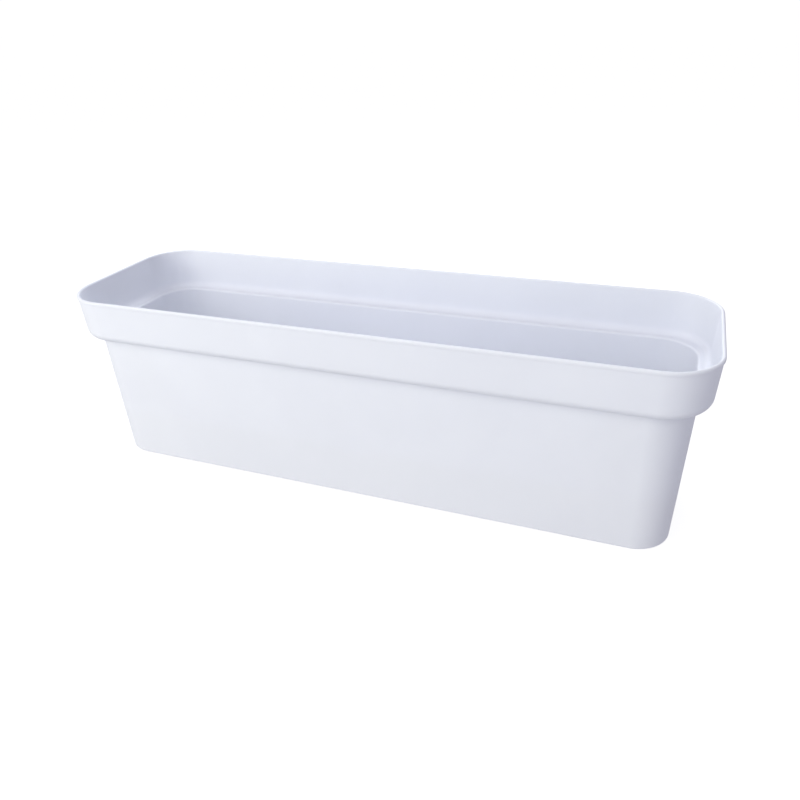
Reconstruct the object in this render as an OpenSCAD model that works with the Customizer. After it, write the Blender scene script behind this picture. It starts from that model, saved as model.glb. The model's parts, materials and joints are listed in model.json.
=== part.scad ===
// Self-watering window trough. A tapered, collared shell holds a water reservoir under a raised,
// perforated soil floor in two halves. Net cups dip soil into the water, a corner filler takes the
// watering can, a float gauge shows the level, and a screw in the underside opens the overflow pipe.
// Millimetres. Origin at the centre of the base, +X along the length, +Z up, front towards -Y.

/* [Trough] */
// Length over the rim
trough_l = 600; // [560:5:800]
// Width over the rim
trough_w = 175; // [170:1:220]
// Height from the feet to the rim
trough_h = 179; // [170:1:200]
// Height of the collar band
collar_h = 43.5; // [38:0.5:50]
// How far the underside of the collar stands out from the body
collar_step = 13; // [12:0.5:15]
// Inset of the base from the rim, on every side
base_inset = 17.5; // [16:0.5:20]
// Plan radius of the rim's corners
rim_corner_r = 44; // [40:1:46]
// Wall thickness
wall = 2.5; // [2.2:0.1:2.8]

/* [Reservoir] */
// Height of the soil floor's underside
deck_z = 48; // [44:1:52]
// Thickness of the soil floor
deck_t = 2.4; // [2:0.2:3]
// Top of the overflow pipe, which sets the highest water level
overflow_z = 42; // [36:1:42]
// Rise of the float from empty to full
float_rise = 24; // [18:1:24]

/* [Filler and gauge] */
// Distance of the filler and the gauge from the middle of the trough
fitting_x = 228; // [222:1:230]
// Height of the filler's mouth
mouth_z = 145; // [135:1:145]
// Outer radius of the filler pipe
fill_r = 16; // [14:0.5:16]

/* [Hidden] */
$fn = 96;

white = [0.90, 0.92, 0.95];
grey = [0.66, 0.69, 0.73];
red = [0.80, 0.13, 0.10];
rubber = [0.08, 0.08, 0.08];

// Trough
body_corner_r = rim_corner_r + 5;   // the body's corners are rounder than the collar's
underside_z = trough_h - collar_h;  // underside of the collar
foot_h = 2;
foot_w = 7;
foot_inset = 3;                     // of the feet from the bottom edge
foot_start = 195;                   // the feet run from here to the ends
floor_t = 2.6;
floor_top = foot_h + floor_t;
base_edge_r = 2;                    // outer rounding of the bottom edge
base_fillet_r = 4;                  // inner fillet of the floor
floor_reach = 10;                   // width of the floor strip that belongs to the wall section
lip_h = 3.6;
lip_proud = 0.9;
lip_t = 3.2;
face_draft = 1.7;                   // draft of the collar's face over its height
fillet_o = 8.5;                     // the collar's lower fillet, inwards
fillet_z = 9;                       // the collar's lower fillet, upwards
ledge_start = lip_proud + face_draft + fillet_o;
ledge_round = 2.2;                  // rounding of the inner edge of the ledge
arc_steps = 10;

// Overflow and drain screw
drain_x = 135;
drain_bore_r = 8;
pipe_r = 10.2;
pipe_shoulder_r = 12.5;
boss_r = 17;
boss_top = 9;
recess_r = 13.5;
recess_top = 6;
seal_t = 1.2;
seal_r = 12;
head_r = 12.2;
head_t = 2.4;
screw_top = 19;

// Soil floor
deck_gap = 1.3;                     // between the soil floor and the trough
deck_inset = inner_inset(deck_z) + deck_gap;
deck_top = deck_z + deck_t;
deck_rim_t = 2;
rim_down = 6;
rim_up = 6;
joint_gap = 0.25;                   // half the gap between the two halves
key_y = 40;                         // dovetail keys between the halves
key_l = 8;
key_neck = 5;
key_head = 8;
key_gap = 0.3;
cup_x = [75, 195];
cup_hole_r = 29;
leg_r = 5;
legs = [[24, 46], [24, -46], [135, 46], [135, -46], [262, 44], [262, -44]];
rib_y = 34;
rib_t = 1.8;
rib_start = 21;
rib_end = 204;                      // the ribs stop short of the float and the filler
slot_pitch = 12;
slot_w = 4;
slot_start = 16;
slot_rows = [[48, 22, 250], [0, 38, 262], [-48, 22, 250]];  // [y, length, furthest x]
slot_web = 4;                       // least plastic left beside a slot

// Fittings in the sockets at the front corners
fitting_y = -45;
socket_gap = 0.2;
socket_wall = 2.4;
socket_top = 60;
flange_t = 2;
flange_over = 3.5;
fill_wall = 1.8;
fill_foot_z = 10;
fill_top = mouth_z - 7;

// Cap and hinge on the filler
hinge_x = fitting_x + 22.5;
hinge_z = mouth_z + 1.2;
pin_r = 1.5;
pin_fit = 0.08;
cap_t = 2.4;
cap_r = 19;
knuckle_r = 3.2;
knuckle_w = 7;
ear_w = 3;
ear_gap = 0.3;

// Gauge
gauge_r = 11;
gauge_wall = 1.6;
gauge_top = 112;
dome_top = mouth_z + 2.5;
dome_wall = 1.4;
rod_r = 2;
rod_fit = 0.3;
rod_seat = 0.03;
float_r = 20;
float_z = 6;
float_h = 14;
marker_r = 8;
marker_h = 9;
marker_top = dome_top - 2 - 1.5 - float_rise;
guide_top = marker_top - marker_h - 0.3;
guide_h = 6;

// Net cups
cup_top_r = 28.4;
cup_bottom_r = 20;
cup_wall = 1.6;
cup_z = floor_top + 2;
cup_flange_r = 33;
cup_slots = 10;

// Inset of the body's outer face from the rim at height z, and of its inner face
function body_inset(z) = base_inset - (base_inset - collar_step) * z / underside_z;
function inner_inset(z) = body_inset(z) + wall;

// Points of an elliptical arc from angle a to angle b
function arc(centre, rx, rz, a, b, steps = arc_steps) =
    [for (i = [0 : steps]) let (t = a + (b - a) * i / steps) centre + [rx * cos(t), rz * sin(t)]];

// A rounded rectangle, inset from the rim's outline, with corners about centres corner_r from the rim
module outline(inset, corner_r) {
    l = trough_l - 2 * inset;
    w = trough_w - 2 * inset;
    r = corner_r - inset;
    square([l - 2 * r, w], center = true);
    square([l, w - 2 * r], center = true);
    for (x = [-1, 1], y = [-1, 1])
        translate([x * (l / 2 - r), y * (w / 2 - r)]) circle(r);
}

// Runs a wall section once round the trough. A point's x is its inset from the rim and its y its height.
module run_round(section, corner_r) {
    cx = trough_l / 2 - corner_r;
    cy = trough_w / 2 - corner_r;
    for (end = [0, 180]) rotate([0, 0, end]) {
        translate([-cx, cy, 0]) rotate([90, 0, 90]) linear_extrude(2 * cx)
            polygon([for (p = section) [corner_r - p.x, p.y]]);
        translate([cx, cy, 0]) rotate([90, 0, 0]) linear_extrude(2 * cy)
            polygon([for (p = section) [corner_r - p.x, p.y]]);
        for (side = [0, 1]) mirror([0, side, 0]) translate([cx, cy, 0]) rotate_extrude(angle = 90)
            polygon([for (p = section) [corner_r - p.x, p.y]]);
    }
}

// Collar: thin lip, drafted face, and a rounded turn inwards to the ledge
module collar() {
    fillet_centre = [ledge_start, underside_z + fillet_z];
    run_round(concat(
        arc(fillet_centre, -fillet_o, -fillet_z, 90, 0),
        [[lip_proud, trough_h - lip_h], [0, trough_h - lip_h + 0.6]],
        arc([lip_t / 2, trough_h - lip_t / 2], -lip_t / 2, lip_t / 2, 0, 180),
        [[lip_t, trough_h - lip_h]],
        arc(fillet_centre, -(fillet_o - wall), -(fillet_z - wall), 0, 90)
    ), rim_corner_r);
    translate([0, 0, underside_z]) linear_extrude(wall) difference() {
        outline(ledge_start, rim_corner_r);
        outline(collar_step + 1.2, body_corner_r);
    }
}

// Tapered body wall with the rounded bottom edge, and the floor
module body_wall() {
    low = foot_h + base_edge_r;
    low_o = body_inset(low);
    in_low = floor_top + base_fillet_r;
    in_low_o = inner_inset(in_low);
    ledge_top = underside_z + wall;
    edge_o = collar_step + wall;
    run_round(concat(
        [[base_inset + floor_reach, foot_h]],
        arc([low_o + base_edge_r, low], -base_edge_r, -base_edge_r, 90, 0, 5),
        [[collar_step, underside_z], [collar_step, ledge_top]],
        arc([edge_o - ledge_round, ledge_top - ledge_round], ledge_round, ledge_round, 90, 0, 5),
        arc([in_low_o + base_fillet_r, in_low], -base_fillet_r, -base_fillet_r, 0, 90, 5),
        [[base_inset + floor_reach, floor_top]]
    ), body_corner_r);
    translate([0, 0, foot_h]) linear_extrude(floor_t) outline(base_inset + floor_reach, body_corner_r);
}

// A foot under each end: a low rib that follows the edge and closes across the base
module feet() {
    outer = base_inset + foot_inset;
    for (side = [0, 180]) rotate([0, 0, side]) linear_extrude(foot_h) intersection() {
        difference() {
            outline(outer, body_corner_r);
            intersection() {
                outline(outer + foot_w, body_corner_r);
                translate([foot_start + foot_w, -trough_w / 2]) square([trough_l, trough_w]);
            }
        }
        translate([foot_start, -trough_w / 2]) square([trough_l, trough_w]);
    }
}

module trough() color(white) difference() {
    union() {
        collar();
        body_wall();
        feet();
        translate([drain_x, 0, foot_h]) cylinder(h = boss_top - foot_h, r = boss_r);
    }
    translate([drain_x, 0, -1]) cylinder(h = recess_top + 1, r = recess_r);
    translate([drain_x, 0, -1]) cylinder(h = boss_top + 2, r = pipe_r);
}

// Overflow pipe, pressed into the boss down to the recess, with a shoulder that rests on the boss
module overflow_pipe() color(white) translate([drain_x, 0, 0]) difference() {
    union() {
        translate([0, 0, recess_top]) cylinder(h = overflow_z - recess_top, r = pipe_r);
        translate([0, 0, boss_top]) cylinder(h = 2, r = pipe_shoulder_r);
    }
    translate([0, 0, recess_top - 1]) cylinder(h = overflow_z, r = drain_bore_r);
}

// Dovetail key on the joint between the halves, grown by a gap for its pocket
module key(gap) {
    for (y = [-key_y, key_y]) translate([0, y])
        polygon([[-1, -key_neck - gap], [key_l + gap, -key_head - gap],
                 [key_l + gap, key_head + gap], [-1, key_neck + gap]]);
}

// True if a slot at x, y with half length h leaves a web beside every cup, leg and socket of its half
function slot_fits(x, y, h, socket_r) =
    len([for (c = cup_x) if (abs(x - c) < cup_flange_r + slot_web && abs(y) < cup_flange_r) 1]) == 0 &&
    len([for (p = legs) if (abs(x - p.x) < leg_r + slot_web + slot_w / 2 && abs(y - p.y) < h + leg_r) 1]) == 0 &&
    !(abs(x - fitting_x) < socket_r + slot_web && abs(y - fitting_y) < h + socket_r) &&
    !(abs(x) < key_l + slot_web + slot_w && abs(abs(y) - key_y) < h + key_head);

module slots(socket_r) {
    for (row = slot_rows, x = [slot_start : slot_pitch : row[2]])
        if (slot_fits(x, row[0], row[1] / 2, socket_r)) translate([x, row[0]]) {
            square([slot_w, row[1] - slot_w], center = true);
            for (s = [-1, 1]) translate([0, s * (row[1] - slot_w) / 2]) circle(slot_w / 2);
        }
}

module half_plane(start) {
    translate([start, -trough_w / 2]) square([trough_l, trough_w]);
}

// One half of the soil floor, for the +X end. A socket of radius socket_r holds the corner fitting.
module soil_floor(socket_r, has_keys) {
    ring_r = socket_r + socket_wall;
    rib_z = deck_z - rim_down;
    difference() {
        union() {
            translate([0, 0, deck_z]) linear_extrude(deck_t) difference() {
                union() {
                    intersection() {
                        outline(deck_inset, body_corner_r);
                        half_plane(joint_gap);
                    }
                    if (has_keys) mirror([1, 0]) key(0);
                }
                if (!has_keys) key(key_gap);
                for (x = cup_x) translate([x, 0]) circle(cup_hole_r);
                slots(ring_r);
            }
            translate([0, 0, rib_z]) linear_extrude(rim_down + deck_t + rim_up) intersection() {
                difference() {
                    outline(deck_inset, body_corner_r);
                    outline(deck_inset + deck_rim_t, body_corner_r);
                }
                half_plane(12);
            }
            for (y = [-rib_y, rib_y]) translate([rib_start, y - rib_t / 2, rib_z])
                cube([rib_end - rib_start, rib_t, rim_down]);
            translate([rib_start, -rib_y, rib_z]) cube([rib_t, 2 * rib_y, rim_down]);
            for (p = legs) translate([p.x, p.y, floor_top]) cylinder(h = deck_z - floor_top, r = leg_r);
            translate([fitting_x, fitting_y, deck_z]) cylinder(h = socket_top - deck_z, r = ring_r);
        }
        translate([fitting_x, fitting_y, deck_z - 1]) cylinder(h = socket_top - deck_z + 2, r = socket_r);
    }
}

module soil_floor_right() color(white) soil_floor(fill_r + socket_gap, false);
module soil_floor_left() color(white) mirror([1, 0, 0]) soil_floor(gauge_r + socket_gap, true);

// Net cup that hangs in the soil floor and dips into the water
module net_cup(x) color(white) translate([x, 0, 0]) difference() {
    taper_h = deck_top - cup_z;
    union() {
        translate([0, 0, cup_z]) cylinder(h = taper_h, r1 = cup_bottom_r, r2 = cup_top_r);
        translate([0, 0, deck_top]) cylinder(h = flange_t, r = cup_flange_r);
    }
    translate([0, 0, cup_z + cup_wall])
        cylinder(h = taper_h - cup_wall, r1 = cup_bottom_r - cup_wall, r2 = cup_top_r - cup_wall);
    translate([0, 0, deck_top - 0.01]) cylinder(h = flange_t + 1, r = cup_top_r - cup_wall);
    for (i = [0 : cup_slots / 2 - 1]) rotate([0, 0, i * 360 / cup_slots])
        translate([-cup_flange_r, -slot_w / 2, cup_z + 6]) cube([2 * cup_flange_r, slot_w, taper_h - 18]);
    for (i = [0 : 5]) rotate([0, 0, i * 60]) translate([12, 0, cup_z - 1]) cylinder(h = 4, r = 2.5);
    translate([0, 0, cup_z - 1]) cylinder(h = 4, r = 3.5);
}

// Filler pipe, standing in its socket on a flange, with slots at its foot
module fill_pipe() color(grey) translate([fitting_x, fitting_y, 0]) difference() {
    union() {
        translate([0, 0, fill_foot_z]) cylinder(h = fill_top - fill_foot_z, r = fill_r);
        translate([0, 0, socket_top]) cylinder(h = flange_t, r = fill_r + flange_over);
    }
    translate([0, 0, fill_foot_z - 1]) cylinder(h = fill_top - fill_foot_z + 2, r = fill_r - fill_wall);
    for (a = [0 : 60 : 300]) rotate([0, 0, a])
        translate([0, -slot_w / 2, fill_foot_z - 1]) cube([fill_r + 1, slot_w, 15]);
}

// Funnel over the top of the pipe, with two ears for the cap's hinge
module fill_funnel() color(grey) difference() {
    bore_r = fill_r - fill_wall;
    union() {
        translate([fitting_x, fitting_y, 0]) rotate_extrude() polygon([
            [fill_r + socket_gap, fill_top - 10], [cap_r - 0.6, fill_top - 10], [cap_r, mouth_z],
            [cap_r - 1.5, mouth_z], [bore_r, fill_top + 2], [bore_r, fill_top],
            [fill_r + socket_gap, fill_top]]);
        for (s = [-1, 1]) translate([0, fitting_y + s * (knuckle_w / 2 + ear_gap + ear_w / 2), 0]) {
            translate([hinge_x, ear_w / 2, hinge_z]) rotate([90, 0, 0]) cylinder(h = ear_w, r = knuckle_r);
            translate([hinge_x - 5.5, -ear_w / 2, fill_top]) cube([5.5 + knuckle_r, ear_w, hinge_z - fill_top]);
        }
    }
    translate([hinge_x, fitting_y + 20, hinge_z]) rotate([90, 0, 0]) cylinder(h = 40, r = pin_r);
    translate([fitting_x, fitting_y, mouth_z]) cylinder(h = 10, r = cap_r + 0.4);
}

// Flip cap: a disc with a plug ring, a finger tab and the hinge knuckle
module fill_cap() color(grey) difference() {
    union() {
        translate([fitting_x, fitting_y, mouth_z]) {
            cylinder(h = cap_t, r = cap_r);
            translate([-cap_r - 4, -5, 0]) cube([8, 10, cap_t]);
            translate([0, 0, -3]) difference() {
                cylinder(h = 3.5, r = 13);
                translate([0, 0, -1]) cylinder(h = 4, r = 11.5);
            }
        }
        translate([fitting_x + cap_r - 3, fitting_y - knuckle_w / 2, mouth_z])
            cube([hinge_x - fitting_x - cap_r + 3, knuckle_w, cap_t]);
        translate([hinge_x, fitting_y + knuckle_w / 2, hinge_z])
            rotate([90, 0, 0]) cylinder(h = knuckle_w, r = knuckle_r);
    }
    translate([hinge_x, fitting_y + 10, hinge_z]) rotate([90, 0, 0]) cylinder(h = 20, r = pin_r + pin_fit);
}

module cap_hinge_pin() color("silver") {
    pin_l = knuckle_w + 2 * ear_gap + 2 * ear_w;
    translate([hinge_x, fitting_y + pin_l / 2, hinge_z]) rotate([90, 0, 0]) cylinder(h = pin_l, r = pin_r);
}

// Gauge tube, standing in its socket, with a guide for the rod at its foot
module gauge_tube() color(grey) translate([-fitting_x, fitting_y, 0]) difference() {
    union() {
        translate([0, 0, deck_z]) cylinder(h = gauge_top - deck_z, r = gauge_r);
        translate([0, 0, socket_top]) cylinder(h = flange_t, r = gauge_r + flange_over);
    }
    translate([0, 0, deck_z + 3]) cylinder(h = gauge_top - deck_z, r = gauge_r - gauge_wall);
    translate([0, 0, deck_z - 1]) cylinder(h = 6, r = rod_r + rod_fit);
}

// Upper guide for the rod, pressed into the tube. The marker comes down to it when the float is low.
module gauge_guide() color(grey) translate([-fitting_x, fitting_y, guide_top]) difference() {
    translate([0, 0, -guide_h]) cylinder(h = guide_h, r = gauge_r - gauge_wall);
    translate([0, 0, -guide_h - 1]) cylinder(h = guide_h + 2, r = rod_r + rod_fit);
    translate([0, 0, -guide_h - 1]) cylinder(h = guide_h - 1.5 + 1, r = gauge_r - gauge_wall - 1.6);
}

// Clear dome over the tube, in which the marker shows
module gauge_dome() color([0.85, 0.92, 0.95, 0.4]) translate([-fitting_x, fitting_y, 0]) rotate_extrude() {
    in_r = gauge_r - gauge_wall;
    out_r = gauge_r + dome_wall;
    round_h = 6;
    polygon(concat(
        [[gauge_r + 0.1, gauge_top - 10], [out_r, gauge_top - 10]],
        arc([out_r - round_h, dome_top - round_h], round_h, round_h, 0, 90, 8),
        [[0, dome_top], [0, dome_top - 2]],
        arc([in_r - 4, dome_top - 6], 4, 4, 90, 0, 8),
        [[in_r, gauge_top], [gauge_r + 0.1, gauge_top]]
    ));
}

module gauge_rod() color("white") translate([-fitting_x, fitting_y, 0])
    translate([0, 0, float_z + float_h - 10]) cylinder(h = marker_top - 3 - float_z - float_h + 10, r = rod_r);

module gauge_marker() color(red) translate([-fitting_x, fitting_y, 0]) difference() {
    translate([0, 0, marker_top - marker_h]) cylinder(h = marker_h, r = marker_r);
    translate([0, 0, marker_top - marker_h - 1]) cylinder(h = marker_h - 2, r = rod_r + rod_seat);
}

module gauge_float() color("white") translate([-fitting_x, fitting_y, float_z]) rotate_extrude() {
    edge = 3;
    polygon(concat(
        [[0, 0]],
        arc([float_r - edge, edge], edge, edge, -90, 0, 5),
        arc([float_r - edge, float_h - edge], edge, edge, 0, 90, 5),
        [[rod_r + rod_seat, float_h], [rod_r + rod_seat, float_h - 10], [0, float_h - 10]]
    ));
}

// Drain screw, worked with a coin from below, and its washer
module drain_screw() color(grey) translate([drain_x, 0, 0]) difference() {
    head_top = recess_top - seal_t;
    union() {
        translate([0, 0, head_top - head_t]) cylinder(h = head_t, r = head_r);
        translate([0, 0, head_top]) cylinder(h = screw_top - head_top, r = drain_bore_r - 0.1);
    }
    translate([-head_r, -1.5, head_top - head_t - 1]) cube([2 * head_r, 3, 2.4]);
    translate([0, 0, head_top + 2]) cylinder(h = screw_top, r = drain_bore_r - 2.2);
}

module drain_seal() color(rubber) translate([drain_x, 0, recess_top - seal_t]) difference() {
    cylinder(h = seal_t, r = seal_r);
    translate([0, 0, -1]) cylinder(h = seal_t + 2, r = drain_bore_r + 0.2);
}

trough();
overflow_pipe();
soil_floor_left();
soil_floor_right();
net_cup(-cup_x[1]);  // net_cup_1
net_cup(-cup_x[0]);  // net_cup_2
net_cup(cup_x[0]);  // net_cup_3
net_cup(cup_x[1]);  // net_cup_4
fill_pipe();
fill_funnel();
fill_cap();
cap_hinge_pin();
gauge_tube();
gauge_guide();
gauge_dome();
gauge_rod();
gauge_marker();
gauge_float();
drain_screw();
drain_seal();
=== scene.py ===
import json
import math

import bmesh
import bpy
from mathutils import Matrix, Vector


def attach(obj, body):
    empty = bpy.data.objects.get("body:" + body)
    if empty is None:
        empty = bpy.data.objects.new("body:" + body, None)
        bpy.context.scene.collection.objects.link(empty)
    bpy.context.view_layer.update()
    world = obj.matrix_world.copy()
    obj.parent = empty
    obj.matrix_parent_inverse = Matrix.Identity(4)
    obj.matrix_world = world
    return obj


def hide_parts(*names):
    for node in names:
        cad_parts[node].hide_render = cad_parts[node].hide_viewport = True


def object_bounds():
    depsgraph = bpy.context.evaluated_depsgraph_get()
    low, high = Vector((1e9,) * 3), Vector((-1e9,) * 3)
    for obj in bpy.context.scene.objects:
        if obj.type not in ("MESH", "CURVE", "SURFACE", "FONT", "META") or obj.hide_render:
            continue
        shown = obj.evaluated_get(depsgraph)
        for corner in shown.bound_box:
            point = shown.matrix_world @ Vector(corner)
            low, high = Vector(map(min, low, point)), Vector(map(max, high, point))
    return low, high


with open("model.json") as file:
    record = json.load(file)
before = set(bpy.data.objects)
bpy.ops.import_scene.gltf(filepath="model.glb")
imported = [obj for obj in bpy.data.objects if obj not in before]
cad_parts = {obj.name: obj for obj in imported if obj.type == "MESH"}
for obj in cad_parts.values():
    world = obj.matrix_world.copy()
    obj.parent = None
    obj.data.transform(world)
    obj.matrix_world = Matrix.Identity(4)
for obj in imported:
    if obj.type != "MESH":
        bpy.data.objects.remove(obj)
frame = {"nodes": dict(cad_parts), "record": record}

cad_low, cad_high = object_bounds()
scene = bpy.context.scene
nodes = frame["nodes"]

MM = 0.001
LENGTH, WIDTH, HEIGHT = (cad_high - cad_low) / MM


# ---------------------------------------------------------------- materials

def material(name, base, rough, mottle=0.03, mottle_scale=9.0, grain=0.02, grain_size=0.6,
             wave=0.0, rough_spread=0.05, **sockets):
    """Base colour with a faint flow mottle, uneven gloss, and mould grain and sink in the bump."""
    m = bpy.data.materials.new(name)
    m.use_nodes = True
    nt = m.node_tree
    n, link = nt.nodes, nt.links
    bsdf = n["Principled BSDF"]
    for socket, value in sockets.items():
        bsdf.inputs[socket.replace("_", " ")].default_value = value
    where = n.new("ShaderNodeTexCoord")

    flow = n.new("ShaderNodeTexNoise")
    flow.inputs["Scale"].default_value = mottle_scale
    flow.inputs["Detail"].default_value = 5.0
    flow.inputs["Roughness"].default_value = 0.55
    link.new(where.outputs["Object"], flow.inputs["Vector"])

    tint = n.new("ShaderNodeValToRGB")
    tint.color_ramp.interpolation = "EASE"
    tint.color_ramp.elements[0].position = 0.35
    tint.color_ramp.elements[1].position = 0.65
    tint.color_ramp.elements[0].color = [c * (1 - mottle) for c in base] + [1]
    tint.color_ramp.elements[1].color = [min(1, c * (1 + mottle)) for c in base] + [1]
    link.new(flow.outputs["Fac"], tint.inputs["Fac"])
    link.new(tint.outputs["Color"], bsdf.inputs["Base Color"])

    gloss = n.new("ShaderNodeMapRange")
    gloss.inputs["From Min"].default_value = 0.3
    gloss.inputs["From Max"].default_value = 0.7
    gloss.inputs["To Min"].default_value = rough - rough_spread
    gloss.inputs["To Max"].default_value = rough + rough_spread
    link.new(flow.outputs["Fac"], gloss.inputs["Value"])
    link.new(gloss.outputs["Result"], bsdf.inputs["Roughness"])

    skin = n.new("ShaderNodeTexNoise")
    skin.inputs["Scale"].default_value = 1 / (grain_size * MM)
    skin.inputs["Detail"].default_value = 3.0
    link.new(where.outputs["Object"], skin.inputs["Vector"])
    fine = n.new("ShaderNodeBump")
    fine.inputs["Strength"].default_value = 0.35
    fine.inputs["Distance"].default_value = grain * MM
    link.new(skin.outputs["Fac"], fine.inputs["Height"])
    if wave:
        sink = n.new("ShaderNodeTexNoise")
        sink.inputs["Scale"].default_value = 11.0
        sink.inputs["Detail"].default_value = 1.0
        link.new(where.outputs["Object"], sink.inputs["Vector"])
        broad = n.new("ShaderNodeBump")
        broad.inputs["Strength"].default_value = 1.0
        broad.inputs["Distance"].default_value = wave * MM
        link.new(sink.outputs["Fac"], broad.inputs["Height"])
        link.new(broad.outputs["Normal"], fine.inputs["Normal"])
    link.new(fine.outputs["Normal"], bsdf.inputs["Normal"])
    return m


def soft(weight, scale):
    """How far light spreads under the skin of a white plastic, in millimetres."""
    return {"Subsurface_Weight": weight, "Subsurface_Radius": (1, 1, 1),
            "Subsurface_Scale": scale * MM}


LOOKS = {
    "shell": material("shell_polypropylene", (0.835, 0.855, 0.915), 0.50, mottle=0.010, grain=0.010,
                      wave=0.25, IOR=1.49, Specular_IOR_Level=0.32, **soft(0.35, 2)),
    "insert": material("insert_polypropylene", (0.800, 0.825, 0.885), 0.40, mottle=0.015,
                       mottle_scale=26.0, grain=0.022, grain_size=0.45, wave=0.12, IOR=1.49,
                       **soft(0.3, 4)),
    "filler": material("filler_polypropylene", (0.400, 0.430, 0.480), 0.30, mottle=0.03,
                       mottle_scale=34.0, grain=0.012, grain_size=0.4, wave=0.05, IOR=1.49),
    "float": material("float_polypropylene", (0.74, 0.74, 0.71), 0.45, mottle=0.02,
                      mottle_scale=40.0, grain=0.02, grain_size=0.4, IOR=1.49, **soft(0.3, 3)),
    "marker": material("marker_red", (0.62, 0.028, 0.020), 0.22, mottle=0.06, mottle_scale=60.0,
                       grain=0.005, grain_size=0.4, IOR=1.5),
    "seal": material("seal_rubber", (0.018, 0.018, 0.018), 0.62, mottle=0.15, mottle_scale=90.0,
                     grain=0.03, grain_size=0.3, IOR=1.52),
    "clear": material("clear_styrene", (0.93, 0.97, 0.98), 0.06, mottle=0.01, mottle_scale=30.0,
                      grain=0.004, grain_size=0.8, wave=0.05, rough_spread=0.02,
                      Transmission_Weight=1.0, IOR=1.55),
    "pin": material("stainless_wire", (0.62, 0.61, 0.59), 0.26, mottle=0.05, mottle_scale=300.0,
                    grain=0.006, grain_size=0.2, Metallic=1.0),
}
slot_of = {p["node"]: p["material_slot"] for p in frame["record"]["subparts"]}


# ---------------------------------------------------------------- mesh helpers

def finish_mesh(bm, name, body, slot, smooth_angle=32):
    """Make bm a piece on a body, with its slot's material and smooth shading up to an angle."""
    bmesh.ops.recalc_face_normals(bm, faces=bm.faces)
    me = bpy.data.meshes.new(name)
    bm.to_mesh(me)
    bm.free()
    for p in me.polygons:
        p.use_smooth = True
    me.set_sharp_from_angle(angle=math.radians(smooth_angle))
    me.materials.append(LOOKS[slot])
    ob = bpy.data.objects.new(name, me)
    scene.collection.objects.link(ob)
    ob.modifiers.new("flat_faces", "WEIGHTED_NORMAL").keep_sharp = True
    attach(ob, body)
    return ob


def loft(bm, rings, closed=False):
    """Join rings of equal length with quads, and return their vertices. closed joins the ends."""
    rings = [[bm.verts.new(v) for v in ring] for ring in rings]
    for a, b in zip(rings, rings[1:] + (rings[:1] if closed else [])):
        for i in range(len(a)):
            j = (i + 1) % len(a)
            bm.faces.new((a[i], a[j], b[j], b[i]))
    return rings


def capped_loft(rings):
    """A closed solid from rings, with a flat face on each end."""
    bm = bmesh.new()
    rings = loft(bm, rings)
    bm.faces.new(rings[0])
    bm.faces.new(rings[-1])
    bmesh.ops.recalc_face_normals(bm, faces=bm.faces)
    return bm


def around(x, y, z, radius, steps=64):
    """A level ring about x, y, its radius a function of the angle, in millimetres."""
    ring = []
    for i in range(steps):
        a = 2 * math.pi * i / steps
        ring.append(Vector((x + radius(a) * math.cos(a), y + radius(a) * math.sin(a), z)) * MM)
    return ring


def circle(x, y, r, z, steps=64):
    return around(x, y, z, lambda a: r, steps)


def spin(x, y, profile, steps=64):
    """A closed solid spun about the vertical through x, y, from (radius, height) in millimetres."""
    return capped_loft([circle(x, y, r, z, steps) for r, z in profile])


def slab(x0, x1, y0, y1, z0, z1):
    """A box between the given limits, in millimetres."""
    corners = ((x0, y0), (x1, y0), (x1, y1), (x0, y1))
    return capped_loft([[Vector((x, y, z)) * MM for x, y in corners] for z in (z0, z1)])


def rod_y(x, z, r, y0, y1, steps=32):
    """A cylinder along Y, from y0 to y1."""
    bm = capped_loft([circle(0, 0, r, h, steps) for h in (0, y1 - y0)])
    lay_down = Matrix.Rotation(-math.pi / 2, 4, "X")
    bm.transform(Matrix.Translation(Vector((x, y0, z)) * MM) @ lay_down)
    return bm


def merge(*parts):
    """Several separate solids as one mesh."""
    bm = bmesh.new()
    for part in parts:
        me = bpy.data.meshes.new("temporary")
        part.to_mesh(me)
        part.free()
        bm.from_mesh(me)
        bpy.data.meshes.remove(me)
    return bm


def combine(bm, *steps):
    """Add ("UNION") or cut ("DIFFERENCE") other solids to or from bm, and return the new solid."""
    def temporary(part):
        me = bpy.data.meshes.new("temporary")
        part.to_mesh(me)
        part.free()
        ob = bpy.data.objects.new("temporary", me)
        scene.collection.objects.link(ob)
        return ob
    base = temporary(bm)
    others = []
    for operation, part in steps:
        others.append(temporary(part))
        mod = base.modifiers.new(operation, "BOOLEAN")
        mod.operation, mod.object, mod.solver = operation, others[-1], "EXACT"
    result = bmesh.new()
    result.from_mesh(base.evaluated_get(bpy.context.evaluated_depsgraph_get()).to_mesh())
    for ob in [base] + others:
        me = ob.data
        bpy.data.objects.remove(ob)
        bpy.data.meshes.remove(me)
    bmesh.ops.remove_doubles(result, verts=result.verts, dist=1e-6)
    bmesh.ops.dissolve_degenerate(result, edges=result.edges, dist=1e-6)
    return result


def arc(cx, cz, rx, rz, start, end, steps):
    """Points of an elliptical arc, from start to end degrees."""
    return [(cx + rx * math.cos(math.radians(start + (end - start) * i / steps)),
             cz + rz * math.sin(math.radians(start + (end - start) * i / steps)))
            for i in range(steps + 1)]


# ---------------------------------------------------------------- trough

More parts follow.
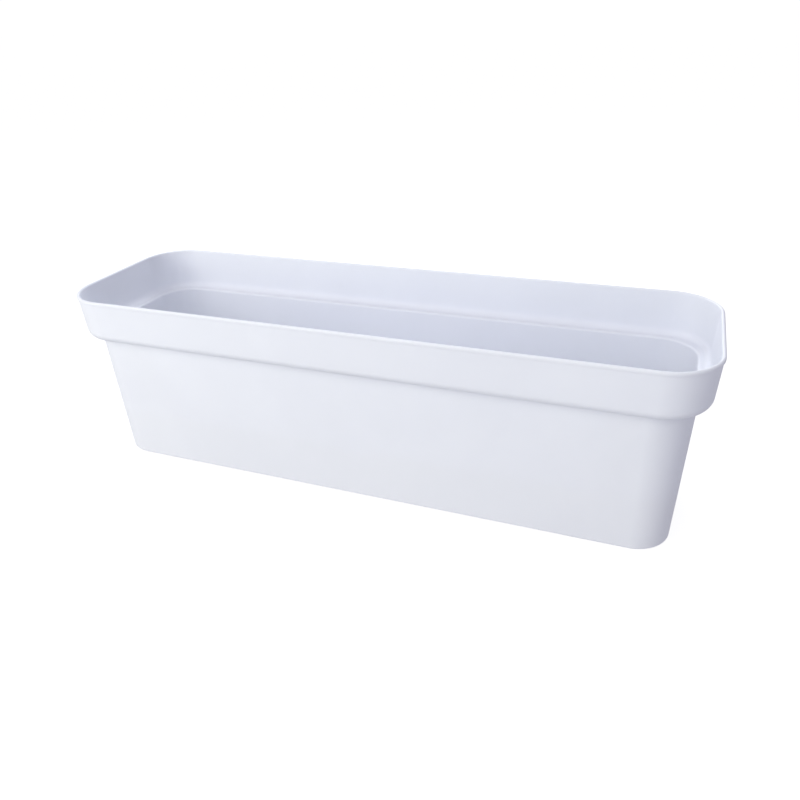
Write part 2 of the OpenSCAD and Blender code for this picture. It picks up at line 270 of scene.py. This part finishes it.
COLLAR_R, BODY_R = 44.0, 49.0       # from the rim's outline to the corner centres
UNDERSIDE = 135.5                   # height of the collar's lower edge
STEP = 13.0                         # how far the body under the collar stands in from the rim
TAPER = 4.5                         # how much further in it is at the base
WALL = 2.5
LIP_T, LIP_LOW, LIP_PROUD = 3.2, 175.4, 0.9
FOOT_H = 2.0
FLOOR_TOP = 4.6
CORNER_STEPS = 24
WALL_HEIGHTS = (30, 60, 90, 115)    # levels along the wall, to keep its faces short
FOOT_INSET, FOOT_START, FOOT_W = 20.5, 195.0, 7.0
DRAIN_X, PIPE_R, RECESS_TOP, BOSS_TOP = 135.0, 10.2, 6.0, 9.0


def outline(inset, corner, z):
    """A rounded rectangle, inset from the rim. corner is how far in its corner centres are."""
    cx, cy, r = LENGTH / 2 - corner, WIDTH / 2 - corner, corner - inset
    ring = []
    for k, (sx, sy) in enumerate([(1, 1), (-1, 1), (-1, -1), (1, -1)]):
        for i in range(CORNER_STEPS + 1):
            a = math.radians(90 * k + 90 * i / CORNER_STEPS)
            ring.append(Vector((sx * cx + r * math.cos(a), sy * cy + r * math.sin(a), z)) * MM)
    return ring


def body_inset(z):
    return STEP + TAPER - TAPER * z / UNDERSIDE


def trough_levels():
    """Every (inset, corner, height) from the underside of the base round the lip to the floor."""
    def part(corner, points):
        return [(inset, corner, z) for inset, z in points]

    base, floor = FOOT_H + 2, FLOOR_TOP + 4       # centres of the rounded corners at the foot
    turn_o, turn_z = 11.1, UNDERSIDE + 9          # centre of the collar's rounded turn inwards
    lip_r = LIP_T / 2
    lip_z = HEIGHT - lip_r
    edge_o, edge_z = STEP + 0.3, UNDERSIDE + WALL - 2.2
    outside = part(BODY_R, arc(body_inset(base) + 2, base, -2, -2, 90, 0, 8))
    outside += part(BODY_R, [(body_inset(z), z) for z in WALL_HEIGHTS] + [(STEP, UNDERSIDE)])
    outside += part(COLLAR_R, arc(turn_o, turn_z, -8.5, -9, 90, 0, 14))
    lip = part(COLLAR_R, [(LIP_PROUD, LIP_LOW), (0, LIP_LOW + 0.6)])
    lip += part(COLLAR_R, arc(lip_r, lip_z, -lip_r, lip_r, 0, 180, 14) + [(LIP_T, LIP_LOW)])
    inside = part(COLLAR_R, arc(turn_o, turn_z, -6, -6.5, 0, 90, 12))
    inside += part(BODY_R, arc(edge_o, edge_z, 2.2, 2.2, 90, 0, 8))
    inside += part(BODY_R, [(body_inset(z) + WALL, z) for z in reversed(WALL_HEIGHTS)])
    inside += part(BODY_R, arc(body_inset(floor) + WALL + 4, floor, -4, -4, 0, 90, 8))
    return outside + lip + inside


def foot_ring(side, inset, x_start, z):
    """A D-shaped loop: the base's outline round one end, closed straight across at x_start."""
    full = [v / MM for v in outline(inset, BODY_R, z)]
    arcs = full[-CORNER_STEPS - 1:] + full[:CORNER_STEPS + 1]
    loop = [Vector((x_start, arcs[0].y, z))] + arcs + [Vector((x_start, arcs[-1].y, z))]
    return [Vector((side * v.x, side * v.y, v.z)) * MM for v in loop]


def feet_mesh():
    """Two low ribs under the ends, 7 mm wide, their lower edges eased by half a millimetre."""
    bm = bmesh.new()
    ease = 0.5
    for side in (1, -1):
        out, inner = (FOOT_INSET, FOOT_START), (FOOT_INSET + FOOT_W, FOOT_START + FOOT_W)
        levels = [(out, 0, FOOT_H + 1), (out, 0, ease), (out, ease, 0),
                  (inner, -ease, 0), (inner, 0, ease), (inner, 0, FOOT_H + 1)]
        loft(bm, [foot_ring(side, inset + grow, x + grow, z) for (inset, x), grow, z in levels],
             closed=True)
    bmesh.ops.recalc_face_normals(bm, faces=bm.faces)
    return bm


def trough_mesh():
    """The trough's shell with its feet, and the boss and recess round the drain."""
    shell = capped_loft([outline(*level) for level in trough_levels()])
    boss = spin(DRAIN_X, 0, [(18.4, FOOT_H + 1.2), (18.4, FLOOR_TOP), (17.4, 4.9), (17.0, 5.8),
                             (17.0, 8.3), (16.8, 8.8), (16.3, BOSS_TOP)])
    recess = spin(DRAIN_X, 0, [(14.6, 1.0), (14.3, FOOT_H), (13.8, 2.3), (13.5, 3.0),
                               (13.5, RECESS_TOP), (PIPE_R, RECESS_TOP), (PIPE_R, BOSS_TOP + 1)])
    return combine(shell, ("UNION", boss), ("UNION", feet_mesh()), ("DIFFERENCE", recess))


trough = finish_mesh(trough_mesh(), "trough_shell", "trough", "shell")
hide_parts("trough")

# ---------------------------------------------------------------- fittings

CAP_R, CAP_LOW, CAP_TOP = 19.0, 145.0, 147.4
FILL_X, FITTING_Y = 228.0, -45.0
HINGE_X, HINGE_Z, HINGE_BORE, KNUCKLE_R, KNUCKLE_HALF = 250.5, 146.2, 1.58, 3.2, 3.5


def drop_ring(grow, z, steps=40):
    """A drop of water, its tip towards the hinge."""
    ring = []
    for i in range(steps):
        a = 2 * math.pi * i / steps
        r = (3.4 + grow) * math.sin(a / 2) ** 1.5
        ring.append(Vector((FILL_X + 4.5 + grow - (8.5 + 2 * grow) * (0.5 - 0.5 * math.cos(a)),
                            FITTING_Y + r * math.sin(a), z)) * MM)
    return ring


def cap_mesh():
    """Flip cap: a dished disc with a raised drop, a ribbed tab, a plug ring and a hinge knuckle."""
    dish = CAP_TOP - 0.5
    disc = spin(FILL_X, FITTING_Y, [(CAP_R - 0.5, CAP_LOW), (CAP_R, CAP_LOW + 0.5),
                                    (CAP_R, CAP_TOP - 0.8), (CAP_R - 0.25, CAP_TOP - 0.25),
                                    (CAP_R - 0.8, CAP_TOP), (15.6, CAP_TOP),
                                    (15.0, CAP_TOP - 0.2), (14.6, dish)], 96)
    plug = spin(FILL_X, FITTING_Y, [(12.6, CAP_LOW - 3), (13.0, CAP_LOW - 2.4),
                                    (13.0, CAP_LOW + 0.5)], 96)
    hollow = spin(FILL_X, FITTING_Y, [(11.8, CAP_LOW - 4), (11.8, CAP_LOW - 3),
                                      (11.5, CAP_LOW - 2.6), (11.5, CAP_LOW)], 96)
    tab_x = FILL_X - CAP_R
    tab = slab(tab_x - 4, tab_x + 4, FITTING_Y - 5, FITTING_Y + 5, CAP_LOW, dish)
    ribs = merge(*[rod_y(tab_x - x, dish, 0.5, FITTING_Y - 3.8, FITTING_Y + 3.8, 16)
                   for x in (0.4, 1.7, 3.0)])
    across = (FITTING_Y - KNUCKLE_HALF, FITTING_Y + KNUCKLE_HALF)
    arm = slab(FILL_X + CAP_R - 3, HINGE_X, *across, CAP_LOW, CAP_TOP)
    knuckle = rod_y(HINGE_X, HINGE_Z, KNUCKLE_R, *across)
    bore = rod_y(HINGE_X, HINGE_Z, HINGE_BORE, FITTING_Y - 10, FITTING_Y + 10)
    drop = capped_loft([drop_ring(0, dish - 0.3), drop_ring(0, CAP_TOP - 0.2),
                        drop_ring(-0.2, CAP_TOP)])
    return combine(disc, ("UNION", plug), ("DIFFERENCE", hollow), ("UNION", tab), ("UNION", ribs),
                   ("UNION", arm), ("UNION", knuckle), ("UNION", drop), ("DIFFERENCE", bore))


SCREW_PITCH, SCREW_R, SCREW_BORE, SCREW_TOP = 3.0, 7.9, 5.8, 19.0
THREAD_DEPTH, THREAD_LOW, THREAD_L, THREAD_STEPS = 0.9, 5.4, 13.0, 54
HEAD_LOW, HEAD_TOP, HEAD_R = 2.4, 4.8, 12.2
FLUTES, FLUTE_DEPTH = 20, 0.2


def screw_mesh():
    """Drain screw: a fluted head with a coin slot, and a hollow shank with a right-hand thread."""
    root = SCREW_R - THREAD_DEPTH

    def fluted(r):
        return lambda a: r - FLUTE_DEPTH * (1 - math.cos(FLUTES * a))

    def plain(r):
        return lambda a: r

    def thread(z):
        """The ring at height z. Its crest climbs a pitch a turn, and fades out at both ends."""
        fade = max(0, min(1, (z - 6.2) / 1.5, (SCREW_TOP - 0.8 - z) / 1.2))

        def radius(a):
            phase = (z / SCREW_PITCH - a / (2 * math.pi)) % 1
            crest = max(0, min(1, (phase - 0.15) / 0.18, (0.68 - phase) / 0.18))
            return root + THREAD_DEPTH * crest * fade
        return radius

    head = [(HEAD_LOW, fluted(HEAD_R - 0.9)), (HEAD_LOW + 0.15, fluted(HEAD_R - 0.3)),
            (HEAD_LOW + 0.5, fluted(HEAD_R)), (HEAD_TOP - 0.4, fluted(HEAD_R)),
            (HEAD_TOP, fluted(HEAD_R - 0.3)), (HEAD_TOP, plain(root + 0.4)),
            (HEAD_TOP + 0.4, plain(root))]
    shank = [(z, thread(z)) for z in (THREAD_LOW + THREAD_L * i / THREAD_STEPS
                                      for i in range(THREAD_STEPS + 1))]
    hollow = [(SCREW_TOP, plain(root - 0.5)), (SCREW_TOP, plain(SCREW_BORE + 0.3)),
              (SCREW_TOP - 0.3, plain(SCREW_BORE)), (HEAD_TOP + 2, plain(SCREW_BORE))]
    slot = slab(DRAIN_X - 13, DRAIN_X + 13, -1.5, 1.5, HEAD_LOW - 1, HEAD_LOW + 1.4)
    rings = [around(DRAIN_X, 0, z, radius, 120) for z, radius in head + shank + hollow]
    return combine(capped_loft(rings), ("DIFFERENCE", slot))


TUBE_R, TUBE_BORE, TUBE_TOP = 11.0, 9.4, 112.0
DOME_R, DOME_LOW, DOME_TOP = 12.4, 102.0, 147.5


def dome_mesh():
    """Clear dome: a rounded top 2 mm thick, and a skirt that slips over the tube."""
    pole = 0.8
    outside = arc(DOME_R - 6, DOME_TOP - 6, 6, 6, 90, 0, 20)
    skirt = [(DOME_R, DOME_LOW + 0.4), (DOME_R - 0.4, DOME_LOW), (TUBE_R + 0.4, DOME_LOW),
             (TUBE_R + 0.1, DOME_LOW + 0.3), (TUBE_R + 0.1, TUBE_TOP), (TUBE_BORE, TUBE_TOP)]
    inside = arc(TUBE_BORE - 4, DOME_TOP - 6, 4, 4, 0, 90, 16)
    profile = [(pole, DOME_TOP)] + outside + skirt + inside + [(pole, DOME_TOP - 2)]
    return spin(-FILL_X, FITTING_Y, profile, 96)


cap = finish_mesh(cap_mesh(), "fill_cap_moulded", "filler_cap", "filler", 40)
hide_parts("fill_cap")
screw = finish_mesh(screw_mesh(), "drain_screw_threaded", "drain_screw", "filler", 50)
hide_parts("drain_screw")
dome = finish_mesh(dome_mesh(), "gauge_dome_clear", "left_floor", "clear", 40)
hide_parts("gauge_dome")

# How far each CAD node's moulded edges are rounded, in millimetres
EDGE = {"soil_floor_left": 0.35, "soil_floor_right": 0.35, "overflow_pipe": 0.4,
        "fill_pipe": 0.3, "fill_funnel": 0.25, "cap_hinge_pin": 0.25, "drain_seal": 0.2,
        "gauge_tube": 0.3, "gauge_guide": 0.2, "gauge_rod": 0.3, "gauge_marker": 0.5,
        "gauge_float": 0.2,
        "net_cup_1": 0.3, "net_cup_2": 0.3, "net_cup_3": 0.3, "net_cup_4": 0.3}


def round_edges(node, width):
    """Weld the CAD faces to each other and round the edges where they meet."""
    node.modifiers.new("weld", "WELD").merge_threshold = 0.01 * MM
    bevel = node.modifiers.new("edges", "BEVEL")
    bevel.width = width * MM
    bevel.segments = 2
    bevel.limit_method = "ANGLE"
    bevel.angle_limit = math.radians(40)
    bevel.miter_outer = "MITER_ARC"
    node.modifiers.new("flat_faces", "WEIGHTED_NORMAL").keep_sharp = True


for name, node in nodes.items():
    if name != "trough":
        node.data.materials.clear()
        node.data.materials.append(LOOKS[slot_of[name]])
    if name in EDGE:
        round_edges(node, EDGE[name])


# ---------------------------------------------------------------- stage, light, camera

FLOOR_GLOW = 0.865                  # brings the lit floor up to white
STAGE_HALF = 40.0


def stage_floor():
    """A wide pale floor that throws no light back at the object."""
    me = bpy.data.meshes.new("floor")
    s = STAGE_HALF
    me.from_pydata([(-s, -s, 0), (s, -s, 0), (s, s, 0), (-s, s, 0)], [], [(0, 1, 2, 3)])
    m = bpy.data.materials.new("pale_floor")
    m.use_nodes = True
    bsdf = m.node_tree.nodes["Principled BSDF"]
    bsdf.inputs["Base Color"].default_value = (0.25, 0.25, 0.25, 1)
    bsdf.inputs["Roughness"].default_value = 0.9
    bsdf.inputs["Specular IOR Level"].default_value = 0.1
    bsdf.inputs["Emission Color"].default_value = (1, 1, 1, 1)
    bsdf.inputs["Emission Strength"].default_value = FLOOR_GLOW
    me.materials.append(m)
    ob = bpy.data.objects.new("floor", me)
    scene.collection.objects.link(ob)
    ob.visible_diffuse = False
    ob.visible_glossy = False


def area_light(name, at, target, size, power, colour):
    """A round soft light of a given diameter and power, turned towards a target."""
    data = bpy.data.lights.new(name, "AREA")
    data.shape = "DISK"
    data.size = size
    data.energy = power
    data.color = colour
    ob = bpy.data.objects.new(name, data)
    scene.collection.objects.link(ob)
    ob.location = at
    ob.rotation_mode = "QUATERNION"
    ob.rotation_quaternion = (Vector(target) - Vector(at)).to_track_quat("-Z", "Y")


def camera():
    """The photograph's viewpoint: from the front, right of the middle, looking down."""
    place = (0.2524, -0.5743, 0.4101)
    yaw, pitch, roll = -0.3855, 0.4987, -0.0418
    ahead = Vector((math.sin(yaw) * math.cos(pitch), math.cos(yaw) * math.cos(pitch),
                    -math.sin(pitch)))
    level = Vector((math.cos(yaw), -math.sin(yaw), 0))
    over = level.cross(ahead)
    right = math.cos(roll) * level + math.sin(roll) * over
    up = math.cos(roll) * over - math.sin(roll) * level
    data = bpy.data.cameras.new("camera")
    data.sensor_width = 36.0
    data.lens = 32.01
    data.clip_start, data.clip_end = 0.05, 60
    ob = bpy.data.objects.new("camera", data)
    ob.matrix_world = Matrix.Translation(place) @ Matrix((right, up, -ahead)).transposed().to_4x4()
    scene.collection.objects.link(ob)
    scene.camera = ob


def studio_world():
    """Even sky light, with a brighter backdrop behind the horizon for the camera alone."""
    world = bpy.data.worlds.new("studio")
    world.use_nodes = True
    n, link = world.node_tree.nodes, world.node_tree.links
    sky = n["Background"]
    sky.inputs["Color"].default_value = (0.91, 0.90, 1.0, 1)
    sky.inputs["Strength"].default_value = 0.545
    backdrop = n.new("ShaderNodeBackground")
    backdrop.inputs["Color"].default_value = (1, 1, 1, 1)
    backdrop.inputs["Strength"].default_value = 1.05
    ray = n.new("ShaderNodeLightPath")
    mix = n.new("ShaderNodeMixShader")
    link.new(ray.outputs["Is Camera Ray"], mix.inputs["Fac"])
    link.new(sky.outputs["Background"], mix.inputs[1])
    link.new(backdrop.outputs["Background"], mix.inputs[2])
    link.new(mix.outputs["Shader"], n["World Output"].inputs["Surface"])
    scene.world = world


stage_floor()
camera()
studio_world()
area_light("front_top", (-0.2, -1.2, 1.3), (0, 0, 0.1), 1.0, 4.4, (1.0, 0.99, 0.935))
area_light("front_left", (-0.9, -1.3, 0.95), (0, 0, 0.1), 1.0, 8.9, (1.0, 0.99, 0.935))
area_light("front_low", (-0.7, -1.5, 0.25), (-0.1, 0, 0.1), 0.7, 5.8, (0.96, 1.0, 0.82))
area_light("behind", (-0.4, 1.2, 1.1), (0, 0, 0.1), 1.2, 13.5, (0.935, 0.98, 1.0))
scene.view_settings.view_transform = "Standard"
